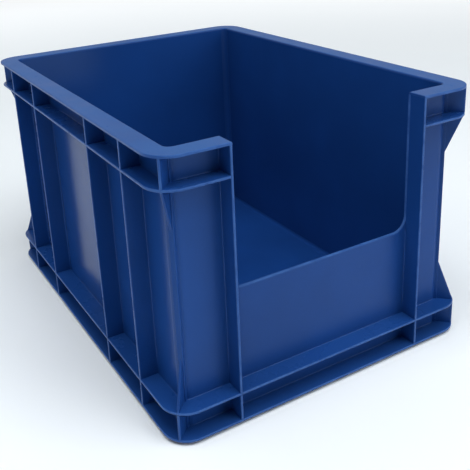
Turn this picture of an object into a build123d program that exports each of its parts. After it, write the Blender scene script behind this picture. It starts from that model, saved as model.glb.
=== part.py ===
"""Open-fronted stackable storage bin on a 400 x 300 mm footprint, 235 mm high.

+Z is up, the open picking front faces -Y, and the origin is the middle of the
footprint on the ground. The real bin is one moulding: each node here is one of
its moulded members, a solid that meets its neighbours face to face.
"""

import os

from build123d import *

os.makedirs("parts", exist_ok=True)

# Overall size, mm
width = 300.0                 # outside, along X
length = 400.0                # outside, along Y
height = 235.0                # ground to the top of the rim
foot_height = 3.0             # how far the foot drops into the rim of the bin below

# Plan of the shell
reach = 16.0                  # flanges and ribs stand this far out of the shell
wall = 2.4
outer_corner = 22.0           # rim and flanges
inner_corner = 6.0            # cavity

# Thin members around the shell
rim_thickness = 2.2
flange_thickness = 2.0
rib_thickness = 2.0
upper_band = 24.6             # rim top to upper flange top
lower_band = 26.8             # underside of the base flange to lower flange top
root_fillet = 0.7             # where a flange or rib leaves the wall
edge_round = 0.6              # free edges of flanges and ribs
rim_round = 0.8
rim_inner_round = 1.6

# Picking opening in the front
opening = 180.0
sill_height = 111.5
sill_fillet = 13.0

# Ribs: places of the side ribs along Y, on both sides alike
side_rib_places = (-140.0, -70.5, 70.5, 140.0)

# Corners: an upright bead, with a diagonal rib that tapers into it from each band
bead_height = 2.5
bead_width = 4.6
upper_taper = 36.0
lower_taper = 39.0

# Floor and foot
floor_top = 5.5
floor_thickness = 3.0
floor_cove = 4.0
stacking_clearance = 1.2      # foot to the rim of the bin below, each side
foot_width = 10.0

# Worked out from the dimensions above
shell_x = width / 2 - reach
shell_y = length / 2 - reach
inner_x = shell_x - wall
inner_y = shell_y - wall
shell_corner = inner_corner + wall
corner_x = inner_x - inner_corner
corner_y = inner_y - inner_corner
foot_x = inner_x - stacking_clearance
foot_y = inner_y - stacking_clearance
foot_corner = inner_corner - stacking_clearance
half_opening = opening / 2
panel_width = corner_x - half_opening

rim_bottom = height - rim_thickness
upper_top = height - upper_band
upper_bottom = upper_top - flange_thickness
upper_middle = upper_top - flange_thickness / 2
lower_top = foot_height + lower_band
lower_bottom = lower_top - flange_thickness
lower_middle = lower_top - flange_thickness / 2
base_top = foot_height + flange_thickness
wall_height = rim_bottom - foot_height
foot_thickness = floor_top - floor_thickness
bays = ((base_top, lower_bottom), (lower_top, upper_bottom), (upper_top, rim_bottom))

# Distances from the centre of a corner, along its diagonal
diagonal_root = shell_corner - wall / 2
bead_face = shell_corner + bead_height
bead_core = bead_face - edge_round
to_flange_centre = Vector(width / 2 - outer_corner - corner_x, length / 2 - outer_corner - corner_y)
diagonal_reach = to_flange_centre.length + outer_corner

LEFT, RIGHT, FRONT, BACK = -1, 1, -1, 1


def near_shell(edge):
    """True for an edge that runs along the shell, not along the free outline."""
    return abs(edge.center().X) < shell_x + 1 and abs(edge.center().Y) < shell_y + 1


def flange_ring(bottom, filleted_levels, gap, margin):
    """A flat ring around the shell, reaching past the outline by the given margin."""
    with BuildPart() as ring:
        with BuildSketch(Plane.XY.offset(bottom)):
            RectangleRounded(width + 2 * margin, length + 2 * margin, outer_corner)
        extrude(amount=flange_thickness)
        if margin == 0:
            fillet(ring.edges().filter_by(Axis.Z, reverse=True), edge_round)
        stub = 3 * root_fillet
        with BuildSketch(Plane.XY.offset(bottom - stub)):
            RectangleRounded(2 * shell_x, 2 * shell_y, shell_corner)
        extrude(amount=flange_thickness + 2 * stub)
        for level in filleted_levels:
            on_level = ring.edges().filter_by_position(Axis.Z, level - 0.01, level + 0.01)
            fillet(on_level.filter_by(near_shell), root_fillet)
        with BuildSketch(Plane.XY.offset(bottom - stub)):
            RectangleRounded(2 * shell_x, 2 * shell_y, shell_corner)
            if gap:
                with Locations((0, -length / 2)):
                    Rectangle(gap, 2 * reach + 2 * margin)
        extrude(amount=flange_thickness + 2 * stub, mode=Mode.SUBTRACT)
    return ring.part


def make_flange(name, bottom, filleted_levels, gap=0.0):
    """Writes one flange, and returns the wider solid that cuts the ribs where it runs through them."""
    flange = flange_ring(bottom, filleted_levels, gap, margin=0)
    flange.label = name
    export_step(flange, f"parts/{name}.step")
    return flange_ring(bottom, filleted_levels, gap, margin=reach)


def make_rib(name, origin, outward, blade_spans):
    """An upright blade with filleted roots that stop short of the fillets of the flanges."""
    with BuildPart() as rib:
        for bottom, top in blade_spans:
            with BuildSketch(Plane(origin=(*origin, bottom), x_dir=outward, z_dir=(0, 0, 1))) as section:
                with Locations((reach / 2, 0)):
                    Rectangle(reach, rib_thickness)
                fillet(section.vertices().group_by(Axis.X)[-1], edge_round)
            extrude(amount=top - bottom)
        for bottom, top in bays:
            plane = Plane(origin=(*origin, bottom + root_fillet), x_dir=outward, z_dir=(0, 0, 1))
            with BuildSketch(plane) as root:
                with Locations((root_fillet, 0)):
                    Rectangle(2 * root_fillet, rib_thickness)
                with Locations((-root_fillet / 2, 0)):
                    Rectangle(root_fillet, rib_thickness + 4 * root_fillet)
                across_blade = root.vertices().filter_by_position(Axis.Y, -rib_thickness, rib_thickness)
                fillet(across_blade.group_by(Axis.X)[0], root_fillet)
                with Locations((-root_fillet / 2, 0)):
                    Rectangle(root_fillet, rib_thickness + 4 * root_fillet, mode=Mode.SUBTRACT)
            extrude(amount=top - bottom - 2 * root_fillet)
        add(upper_cutter, mode=Mode.SUBTRACT)
        add(lower_cutter, mode=Mode.SUBTRACT)
        add(base_cutter, mode=Mode.SUBTRACT)
        if outward[1] == FRONT:
            with BuildSketch(Plane.XY.offset(sill_height)):
                with Locations((0, -length / 2)):
                    Rectangle(opening, 2 * reach)
            extrude(amount=height, mode=Mode.SUBTRACT)
    rib.part.label = name
    export_step(rib.part, f"parts/{name}.step")


# Shell: floor, walls and corners

with BuildPart() as floor_plate:
    with BuildSketch(Plane.XY.offset(foot_thickness)):
        RectangleRounded(2 * foot_x, 2 * foot_y, foot_corner)
    extrude(amount=foot_height - foot_thickness)
    with BuildSketch(Plane.XY.offset(foot_height)):
        RectangleRounded(2 * inner_x, 2 * inner_y, inner_corner)
    extrude(amount=floor_top - foot_height)
floor_plate.part.label = "floor_plate"
export_step(floor_plate.part, "parts/floor_plate.step")

with BuildPart() as cavity:
    with BuildSketch(Plane.XY.offset(floor_top)):
        RectangleRounded(2 * inner_x, 2 * inner_y, inner_corner)
    extrude(amount=2 * floor_cove)
    fillet(cavity.faces().sort_by(Axis.Z)[0].edges(), floor_cove)

with BuildPart() as floor_cove_ring:
    with BuildSketch(Plane.XY.offset(floor_top)):
        RectangleRounded(2 * inner_x, 2 * inner_y, inner_corner)
    extrude(amount=floor_cove)
    add(cavity.part, mode=Mode.SUBTRACT)
floor_cove_ring.part.label = "floor_cove"
export_step(floor_cove_ring.part, "parts/floor_cove.step")

with BuildPart() as stacking_foot:
    with BuildSketch():
        RectangleRounded(2 * foot_x, 2 * foot_y, foot_corner)
    extrude(amount=foot_thickness)
    fillet(stacking_foot.faces().sort_by(Axis.Z)[0].edges(), edge_round)
    with BuildSketch():
        Rectangle(2 * (foot_x - foot_width), 2 * (foot_y - foot_width))
    extrude(amount=foot_thickness, mode=Mode.SUBTRACT)
stacking_foot.part.label = "stacking_foot"
export_step(stacking_foot.part, "parts/stacking_foot.step")

for side, name in ((LEFT, "left_wall"), (RIGHT, "right_wall")):
    with BuildPart() as side_wall:
        with BuildSketch(Plane.XY.offset(foot_height)):
            with Locations((side * (inner_x + wall / 2), 0)):
                Rectangle(wall, 2 * corner_y)
        extrude(amount=wall_height)
    side_wall.part.label = name
    export_step(side_wall.part, f"parts/{name}.step")

with BuildPart() as back_wall:
    with BuildSketch(Plane.XY.offset(foot_height)):
        with Locations((0, inner_y + wall / 2)):
            Rectangle(2 * corner_x, wall)
    extrude(amount=wall_height)
back_wall.part.label = "back_wall"
export_step(back_wall.part, "parts/back_wall.step")

for side, name in ((LEFT, "front_left_panel"), (RIGHT, "front_right_panel")):
    with BuildPart() as front_panel:
        with BuildSketch(Plane.XY.offset(foot_height)):
            with Locations((side * (half_opening + panel_width / 2), -(inner_y + wall / 2))):
                Rectangle(panel_width, wall)
        extrude(amount=wall_height)
    front_panel.part.label = name
    export_step(front_panel.part, f"parts/{name}.step")

with BuildPart() as front_sill:
    with BuildSketch(Plane.XZ.offset(inner_y)):
        with Locations((0, (foot_height + sill_height + sill_fillet) / 2)):
            Rectangle(opening, sill_height + sill_fillet - foot_height)
        with Locations((0, sill_height + 2 * sill_fillet)):
            RectangleRounded(opening, 4 * sill_fillet, sill_fillet, mode=Mode.SUBTRACT)
    extrude(amount=wall)
front_sill.part.label = "front_sill"
export_step(front_sill.part, "parts/front_sill.step")

# Rim and flanges

with BuildPart() as top_rim:
    with BuildSketch(Plane.XY.offset(rim_bottom)):
        RectangleRounded(width, length, outer_corner)
        RectangleRounded(2 * inner_x, 2 * inner_y, inner_corner, mode=Mode.SUBTRACT)
        with Locations((0, -length / 2)):
            Rectangle(opening, 4 * reach, mode=Mode.SUBTRACT)
    extrude(amount=rim_thickness)
    fillet(top_rim.faces().sort_by(Axis.Z)[-1].edges().filter_by(near_shell), rim_inner_round)
    fillet(top_rim.faces().sort_by(Axis.Z)[-1].edges().filter_by(near_shell, reverse=True), rim_round)
top_rim.part.label = "top_rim"
export_step(top_rim.part, "parts/top_rim.step")

upper_cutter = make_flange("upper_flange", upper_bottom, (upper_top, upper_bottom),
                           gap=opening + 2 * rib_thickness)
lower_cutter = make_flange("lower_flange", lower_bottom, (lower_top, lower_bottom))
base_cutter = make_flange("base_flange", foot_height, (base_top,))

# Upright ribs, numbered from the front; the two in the front frame the picking opening

for side, side_name in ((LEFT, "left"), (RIGHT, "right")):
    for number, place in enumerate(side_rib_places, start=1):
        make_rib(f"{side_name}_rib_{number}", (side * shell_x, place), (side, 0, 0), bays)
    framing_x = side * (half_opening + rib_thickness / 2)
    framing_spans = ((base_top, lower_bottom), (lower_top, rim_bottom))
    make_rib(f"{side_name}_opening_rib", (framing_x, -shell_y), (0, FRONT, 0), framing_spans)
    make_rib(f"{side_name}_back_rib", (framing_x, shell_y), (0, BACK, 0), bays)

# Corners: a rounded length of wall with an upright bead and a diagonal rib

for end, end_name in ((FRONT, "front"), (BACK, "back")):
    for side, side_name in ((LEFT, "left"), (RIGHT, "right")):
        centre = (side * corner_x, end * corner_y)
        with BuildPart() as corner:
            with BuildSketch(Plane(origin=(*centre, 0), x_dir=(side, end, 0), z_dir=(end, -side, 0))):
                with BuildLine():
                    Polyline(
                        (diagonal_root, base_top),
                        (diagonal_reach, base_top),
                        (diagonal_reach, lower_middle),
                        (bead_core, lower_top + lower_taper),
                        (bead_core, upper_bottom - upper_taper),
                        (diagonal_reach, upper_middle),
                        (diagonal_reach, rim_bottom),
                        (diagonal_root, rim_bottom),
                        close=True,
                    )
                make_face()
            extrude(amount=rib_thickness / 2, both=True)
            outline = corner.edges().filter_by(lambda edge: edge.length > 1.1 * rib_thickness)
            fillet(outline.filter_by_position(Axis.Z, base_top + 1, rim_bottom - 1), edge_round)
            across = Plane(origin=(*centre, base_top), x_dir=(side, end, 0), z_dir=(0, 0, 1))
            with BuildSketch(across) as bead:
                with Locations(((diagonal_root + bead_face) / 2, 0)):
                    Rectangle(bead_face - diagonal_root, bead_width)
                fillet(bead.vertices().group_by(Axis.X)[-1], edge_round)
            extrude(amount=rim_bottom - base_top)
            with BuildSketch(Plane.XY.offset(foot_height)):
                with Locations(centre):
                    Circle(shell_corner)
                    Circle(inner_corner, mode=Mode.SUBTRACT)
                with Locations((centre[0] + side * shell_corner / 2, centre[1] + end * shell_corner / 2)):
                    Rectangle(shell_corner, shell_corner, mode=Mode.INTERSECT)
            extrude(amount=wall_height)
            add(upper_cutter, mode=Mode.SUBTRACT)
            add(lower_cutter, mode=Mode.SUBTRACT)
            add(base_cutter, mode=Mode.SUBTRACT)
        name = f"{end_name}_{side_name}_corner"
        corner.part.label = name
        export_step(corner.part, f"parts/{name}.step")
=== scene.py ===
"""Looks for the open-fronted stackable storage bin: satin blue plastic in a white studio."""

import math

import bpy
from mathutils import Matrix, Vector


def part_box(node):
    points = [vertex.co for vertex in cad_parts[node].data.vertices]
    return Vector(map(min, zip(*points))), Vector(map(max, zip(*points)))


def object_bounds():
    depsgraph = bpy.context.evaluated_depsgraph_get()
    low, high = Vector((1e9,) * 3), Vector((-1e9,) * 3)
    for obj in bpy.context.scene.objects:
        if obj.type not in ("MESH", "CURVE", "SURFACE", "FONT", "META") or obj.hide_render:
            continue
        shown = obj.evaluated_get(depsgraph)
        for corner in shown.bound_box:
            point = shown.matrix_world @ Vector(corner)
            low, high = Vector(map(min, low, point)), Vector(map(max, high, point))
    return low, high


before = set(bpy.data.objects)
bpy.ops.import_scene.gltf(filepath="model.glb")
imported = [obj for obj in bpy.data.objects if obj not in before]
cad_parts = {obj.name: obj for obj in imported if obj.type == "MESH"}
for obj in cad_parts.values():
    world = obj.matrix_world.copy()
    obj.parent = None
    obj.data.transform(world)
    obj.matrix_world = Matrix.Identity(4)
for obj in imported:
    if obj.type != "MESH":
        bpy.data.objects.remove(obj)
cad_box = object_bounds()

LOW, HIGH = (Vector(corner) for corner in cad_box)
MIDDLE = (LOW + HIGH) / 2


def middle(node):
    low, high = (Vector(corner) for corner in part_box(node))
    return (low + high) / 2


def direction(azimuth, elevation):
    """A unit vector; azimuth 0 is in front of the opening, and a quarter turn is on the right."""
    return Vector((
        math.sin(azimuth) * math.cos(elevation),
        -math.cos(azimuth) * math.cos(elevation),
        math.sin(elevation),
    ))


# Camera -----------------------------------------------------------------------

def add_camera():
    """A near view of the front left corner, looking down into the open bin."""
    azimuth = math.radians(-28.985)
    elevation = math.radians(18.885)
    roll = math.radians(-2.936)
    distance = 0.733
    target = Vector((0.0056, 0.0, 0.1596))
    back = direction(azimuth, elevation)
    level_right = (-back).cross(Vector((0, 0, 1))).normalized()
    level_up = level_right.cross(-back)
    right = level_right * math.cos(roll) + level_up * math.sin(roll)
    up = level_up * math.cos(roll) - level_right * math.sin(roll)
    camera = bpy.data.objects.new("camera", bpy.data.cameras.new("camera"))
    camera.matrix_world = Matrix.Translation(target + back * distance) @ Matrix(
        (right, up, back)).transposed().to_4x4()
    camera.data.sensor_width = 36.0
    camera.data.lens = 56.045
    camera.data.shift_x = 0.0471
    camera.data.shift_y = -0.1969
    camera.data.clip_start = 0.01
    bpy.context.scene.collection.objects.link(camera)
    bpy.context.scene.camera = camera


# Studio -----------------------------------------------------------------------

SOFTBOX_SIZE = 1.6
SOFTBOX_COLOUR = (0.90, 0.96, 1.0)         # a cool white
SOFTBOX_DISTANCE = 2.4
# name, azimuth and elevation in degrees, watts
KEY_SOFTBOXES = (
    ("front_high", 0, 70, 38.0),
    ("left_high", 275, 66, 17.0),
    ("front_right_low", 38, 30, 24.0),
)
# Equal weak ones stand in a ring round the back and the left.
FILL_AZIMUTHS = (135, 180, 225, 270)
FILL_ELEVATION = 30
FILL_WATTS = 6.0

FLOOR_REACH = 40.0
# Away from the bin the floor glows a little, so that it stays pale where the softboxes fade.
GLOW_START = 0.7
GLOW_FULL = 3.6
GLOW_STRENGTH = 0.85
# The world is a pale band at the horizon under a dim ceiling; heights are those of a unit direction.
HORIZON_HEIGHT = 0.02
CEILING_HEIGHT = 0.14
HORIZON_STRENGTH = 0.85
CEILING_STRENGTH = 0.05


def add_softbox(name, azimuth, elevation, watts):
    """A square area light that looks at the middle of the bin."""
    light = bpy.data.lights.new(name, "AREA")
    light.shape = "SQUARE"
    light.size = SOFTBOX_SIZE
    light.energy = watts
    light.color = SOFTBOX_COLOUR
    lamp = bpy.data.objects.new(name, light)
    lamp.location = SOFTBOX_DISTANCE * direction(math.radians(azimuth), math.radians(elevation))
    lamp.rotation_euler = (MIDDLE - lamp.location).to_track_quat("-Z", "Y").to_euler()
    bpy.context.scene.collection.objects.link(lamp)


def add_softboxes():
    """Soft light, mostly from high in front, from the left and from low on the front right."""
    for softbox in KEY_SOFTBOXES:
        add_softbox(*softbox)
    for azimuth in FILL_AZIMUTHS:
        add_softbox(f"fill_{azimuth}", azimuth, FILL_ELEVATION, FILL_WATTS)


def add_fade(tree, value, start, end, strength_at_start, strength_at_end):
    """Nodes for a strength that changes smoothly as a value goes from start to end."""
    fade = tree.nodes.new("ShaderNodeMapRange")
    fade.interpolation_type = "SMOOTHSTEP"
    fade.inputs["From Min"].default_value = start
    fade.inputs["From Max"].default_value = end
    fade.inputs["To Min"].default_value = strength_at_start
    fade.inputs["To Max"].default_value = strength_at_end
    tree.links.new(value, fade.inputs["Value"])
    return fade.outputs[0]


def add_floor():
    """A wide, pale floor that the bin stands on."""
    mesh = bpy.data.meshes.new("studio_floor")
    corners = [(-1, -1), (1, -1), (1, 1), (-1, 1)]
    mesh.from_pydata([(x * FLOOR_REACH, y * FLOOR_REACH, LOW.z) for x, y in corners], [], [(0, 1, 2, 3)])
    floor = bpy.data.objects.new("studio_floor", mesh)
    bpy.context.scene.collection.objects.link(floor)
    material = bpy.data.materials.new("studio_floor")
    material.use_nodes = True
    tree = material.node_tree
    shader = tree.nodes["Principled BSDF"]
    shader.inputs["Base Color"].default_value = (0.92, 0.925, 0.93, 1)
    shader.inputs["Roughness"].default_value = 0.8
    shader.inputs["Emission Color"].default_value = (1.0, 1.0, 1.0, 1)
    place = tree.nodes.new("ShaderNodeTexCoord")
    distance = tree.nodes.new("ShaderNodeVectorMath")
    distance.operation = "LENGTH"
    tree.links.new(place.outputs["Object"], distance.inputs[0])
    glow = add_fade(tree, distance.outputs["Value"], GLOW_START, GLOW_FULL, 0.0, GLOW_STRENGTH)
    tree.links.new(glow, shader.inputs["Emission Strength"])
    mesh.materials.append(material)


def add_world():
    """A white studio all round, brightest at the horizon."""
    world = bpy.data.worlds.new("studio")
    world.use_nodes = True
    tree = world.node_tree
    background = tree.nodes["Background"]
    background.inputs["Color"].default_value = (1.0, 1.0, 1.0, 1)
    place = tree.nodes.new("ShaderNodeTexCoord")
    axes = tree.nodes.new("ShaderNodeSeparateXYZ")
    tree.links.new(place.outputs["Generated"], axes.inputs[0])
    strength = add_fade(
        tree, axes.outputs["Z"], HORIZON_HEIGHT, CEILING_HEIGHT, HORIZON_STRENGTH, CEILING_STRENGTH)
    tree.links.new(strength, background.inputs["Strength"])
    bpy.context.scene.world = world


# Plastic ----------------------------------------------------------------------

# Dimensions of the bin, in metres
OUTER_CORNER = 0.022                        # radius of the rim's and flanges' corners
SILL_FILLET = 0.013
HALF_OPENING, _, FILLET_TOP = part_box("front_sill")[1]
SIDE_RIBS = [middle(name).y for name in ("left_rib_3", "left_rib_4")]   # and as far the other way
BACK_RIBS = [middle("right_back_rib").x]                                # likewise
SINK_MARK_REACH = 0.005                     # either way from the middle of a rib
EDGE_PALED_FULLY = 0.0003                       # an edge is paled fully this far in, by wear and by a painted highlight
EDGE_PALED_NO_MORE = 0.0011                     # and no more from here on

BLUE_DEEP = (0.0072, 0.0412, 0.183, 1)
BLUE_PALE = (0.0084, 0.0500, 0.220, 1)
BLUE_WORN_AND_HIGHLIT = (0.040, 0.112, 0.335, 1)      # where edges are polished pale by handling, and a painted highlight on edges that catch the light; scratches take it too
# A paler blue for level tops: a film of dust, and painted light from above.
BLUE_DUSTY_AND_TOPLIT = (0.032, 0.106, 0.298, 1)
GLEAM = (0.80, 1.0, 1.0, 1)                 # the pigment's cast on the gloss
GLEAM_LEVEL = 0.19


class Recipe:
    """Adds nodes to one material; a value may be a number, a colour or another node's output."""

    def __init__(self, name):
        self.material = bpy.data.materials.new(name)
        self.material.use_nodes = True
        self.tree = self.material.node_tree
        self.shader = self.tree.nodes["Principled BSDF"]
        self.place = self.add("ShaderNodeTexCoord", {}, "Object")
        axes = self.tree.nodes.new("ShaderNodeSeparateXYZ")
        self.tree.links.new(self.place, axes.inputs[0])
        self.x, self.y, self.z = axes.outputs

    def plug(self, socket, value):
        if isinstance(value, bpy.types.NodeSocket):
            self.tree.links.new(value, socket)
        else:
            socket.default_value = value

    def add(self, kind, inputs, output=0, **settings):
        node = self.tree.nodes.new(kind)
        for key, value in settings.items():
            setattr(node, key, value)
        for key, value in inputs.items():
            self.plug(node.inputs[key], value)
        return node.outputs[output]

    def math(self, operation, *values):
        return self.add("ShaderNodeMath", dict(enumerate(values)), operation=operation)

    def times(self, first, second):
        return self.math("MULTIPLY", first, second)

    def ramp(self, value, low, high, to_low=0.0, to_high=1.0):
        """A smooth, clamped step from low to high."""
        return self.add("ShaderNodeMapRange", {
            "Value": value, "From Min": low, "From Max": high, "To Min": to_low, "To Max": to_high,
        }, interpolation_type="SMOOTHSTEP")

    def noise(self, scale, detail=2.0, roughness=0.5, stretch=None, turn=(0.0, 0.0, 0.0)):
        place = self.place
        if stretch:
            place = self.add("ShaderNodeMapping", {"Vector": place, "Scale": stretch, "Rotation": turn})
        return self.add("ShaderNodeTexNoise", {
            "Vector": place, "Scale": scale, "Detail": detail, "Roughness": roughness})

    def mix(self, factor, first, second):
        return self.add("ShaderNodeMix", {0: factor, 6: first, 7: second}, 2, data_type="RGBA")

    def bump(self, height, distance, normal=None):
        inputs = {"Height": height, "Distance": distance, "Strength": 1.0}
        if normal:
            inputs["Normal"] = normal
        return self.add("ShaderNodeBump", inputs)

    def past_outline(self, first, second, radius):
        """How far a point lies outside a round-cornered outline, in metres; first and second are
        its places past the centres of the corners."""
        corner = self.math("SQRT", self.math(
            "ADD",
            self.math("POWER", self.math("MAXIMUM", first, 0.0), 2.0),
            self.math("POWER", self.math("MAXIMUM", second, 0.0), 2.0)))
        straight = self.math("MINIMUM", self.math("MAXIMUM", first, second), 0.0)
        return self.math("SUBTRACT", self.math("ADD", corner, straight), radius)

    def near_edge(self, opening_too):
        """One at the bin's outline, and if asked at the edge of its opening, and nought inside."""
        outline = self.past_outline(
            self.math("SUBTRACT", self.math("ABSOLUTE", self.x), HIGH.x - OUTER_CORNER),
            self.math("SUBTRACT", self.math("ABSOLUTE", self.y), HIGH.y - OUTER_CORNER),
            OUTER_CORNER)
        inside = self.times(outline, -1.0)
        outline_edge = self.ramp(inside, EDGE_PALED_FULLY, EDGE_PALED_NO_MORE, 1.0, 0.0)
        if not opening_too:
            return outline_edge
        opening = self.past_outline(
            self.math("SUBTRACT", self.math("ABSOLUTE", self.x), HALF_OPENING - SILL_FILLET),
            self.math("SUBTRACT", FILLET_TOP, self.z),
            SILL_FILLET)
        opening_edge = self.ramp(opening, EDGE_PALED_FULLY, EDGE_PALED_NO_MORE, 1.0, 0.0)
        return self.math("MAXIMUM", outline_edge, opening_edge)

    def facing_up(self):
        """One on level surfaces, nought on steep ones."""
        normal = self.add("ShaderNodeNewGeometry", {}, "Normal")
        return self.ramp(self.add("ShaderNodeSeparateXYZ", {0: normal}, "Z"), low=0.55, high=0.95)


def plastic(name, roughness=0.18, dust_and_toplight=0.25, edge_wear_and_highlight=0.6, scratches=0.3, scratch_stretch=(260, 260, 7),
            side_ribs=(), end_ribs=(), opening_too=False):
    """Injection-moulded polypropylene; behind ribs, given by y or by x, its wall has faint hollows."""
    recipe = Recipe(name)

    # Colour: slow drifts in tone, a fine speckle, edges paled by wear and by a painted highlight, and on
    # what faces up a film of dust with painted light from above.
    drift = recipe.noise(scale=9.0, detail=3.0, roughness=0.55)
    speckle = recipe.noise(scale=700.0, detail=2.0, roughness=0.6)
    tone = recipe.ramp(recipe.math("ADD", recipe.times(drift, 0.8), recipe.times(speckle, 0.2)),
                       low=0.32, high=0.68)
    colour = recipe.mix(tone, BLUE_DEEP, BLUE_PALE)

    # Edges paled: partly wear from handling, partly a painted highlight where the rounded edges catch the
    # light.
    patches = recipe.ramp(recipe.noise(scale=55.0, detail=4.0, roughness=0.6), low=0.36, high=0.62)
    uneven = recipe.math("ADD", recipe.times(patches, 0.6), 0.4)
    worn_and_highlit_edge = recipe.times(recipe.times(recipe.near_edge(opening_too), edge_wear_and_highlight), uneven)
    colour = recipe.mix(worn_and_highlit_edge, colour, BLUE_WORN_AND_HIGHLIT)

    # Level, up-facing surfaces paled in clouds: partly a film of dust, partly painted light falling from
    # above.
    clouds = recipe.ramp(recipe.noise(scale=30.0, detail=5.0, roughness=0.65),
                         low=0.25, high=0.75, to_low=0.45)
    dusty_and_toplit = recipe.times(recipe.times(recipe.facing_up(), dust_and_toplight), clouds)
    colour = recipe.mix(dusty_and_toplit, colour, BLUE_DUSTY_AND_TOPLIT)

    streaks = recipe.noise(scale=1.0, detail=3.0, roughness=0.55, stretch=scratch_stretch)
    cross_streaks = recipe.noise(
        scale=1.0, detail=3.0, roughness=0.55, stretch=scratch_stretch, turn=(0.5, 0.35, 0.6))
    any_scratch = recipe.math("MAXIMUM", recipe.ramp(streaks, low=0.67, high=0.74),
                              recipe.ramp(cross_streaks, low=0.69, high=0.76))
    scratched = recipe.times(any_scratch, scratches)
    colour = recipe.mix(recipe.times(scratched, 0.12), colour, BLUE_WORN_AND_HIGHLIT)
    recipe.plug(recipe.shader.inputs["Base Color"], colour)

    # Finish: satin, duller where it is worn, dusty or scratched.
    finish = recipe.ramp(recipe.noise(scale=24.0, detail=3.0, roughness=0.6),
                         low=0.3, high=0.7, to_low=roughness - 0.02, to_high=roughness + 0.02)
    for wear, dullness in ((worn_and_highlit_edge, 0.12), (dusty_and_toplit, 0.35), (scratched, 0.2)):
        finish = recipe.math("ADD", finish, recipe.times(wear, dullness))
    recipe.plug(recipe.shader.inputs["Roughness"], finish)
    recipe.shader.inputs["Specular IOR Level"].default_value = GLEAM_LEVEL
    recipe.shader.inputs["Specular Tint"].default_value = GLEAM

    # Surface: the slight waviness of a thin wall, the mould's fine grain, scratches and hollows.
    normal = recipe.bump(recipe.noise(scale=14.0), distance=0.0004)
    normal = recipe.bump(recipe.noise(scale=1600.0), distance=0.000012, normal=normal)
    normal = recipe.bump(recipe.times(scratched, -1.0), distance=0.00002, normal=normal)
    for across, ribs in ((recipe.y, side_ribs), (recipe.x, end_ribs)):
        for rib in ribs:
            off_rib = recipe.math("ABSOLUTE", recipe.math("SUBTRACT", recipe.math("ABSOLUTE", across), rib))
            normal = recipe.bump(
                recipe.ramp(off_rib, low=0.0, high=SINK_MARK_REACH), distance=0.00005, normal=normal)
    recipe.plug(recipe.shader.inputs["Normal"], normal)
    return recipe.material


def finish_nodes():
    """Gives each moulded feature the wear, dust, painted top light and painted edge highlights that its
    place on the bin brings.
    """
    side_wall = plastic("side_wall_plastic", side_ribs=SIDE_RIBS)
    end_wall = plastic("end_wall_plastic", end_ribs=BACK_RIBS)
    front_panel = plastic("front_panel_plastic", roughness=0.36, edge_wear_and_highlight=0.9, opening_too=True)
    corner = plastic("corner_plastic", roughness=0.34, dust_and_toplight=0.15, edge_wear_and_highlight=0.75)
    rib = plastic("rib_plastic", roughness=0.24, dust_and_toplight=0.15, edge_wear_and_highlight=0.75, scratches=0.0)
    rim = plastic("rim_plastic", roughness=0.3, dust_and_toplight=0.75, edge_wear_and_highlight=0.6, scratches=0.9,
                  scratch_stretch=(120, 120, 120))
    inside_floor = plastic("floor_plastic", roughness=0.3, dust_and_toplight=0.0, edge_wear_and_highlight=0.0, scratches=0.8,
                           scratch_stretch=(240, 9, 60))
    foot = plastic("foot_plastic", roughness=0.36, dust_and_toplight=0.2, edge_wear_and_highlight=0.8, scratches=1.0,
                   scratch_stretch=(180, 30, 60))
    finishes = {
        "left_wall": side_wall, "right_wall": side_wall, "back_wall": end_wall,
        "front_left_panel": front_panel, "front_right_panel": front_panel, "front_sill": front_panel,
        "top_rim": rim, "floor_plate": inside_floor, "floor_cove": inside_floor,
        "stacking_foot": foot, "base_flange": foot,
        "front_left_corner": corner, "front_right_corner": corner,
        "back_left_corner": corner, "back_right_corner": corner,
    }
    for name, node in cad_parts.items():
        node.data.materials.clear()
        node.data.materials.append(finishes.get(name, rib))


add_camera()
add_floor()
add_world()
add_softboxes()
finish_nodes()

bpy.context.scene.view_settings.view_transform = "Standard"
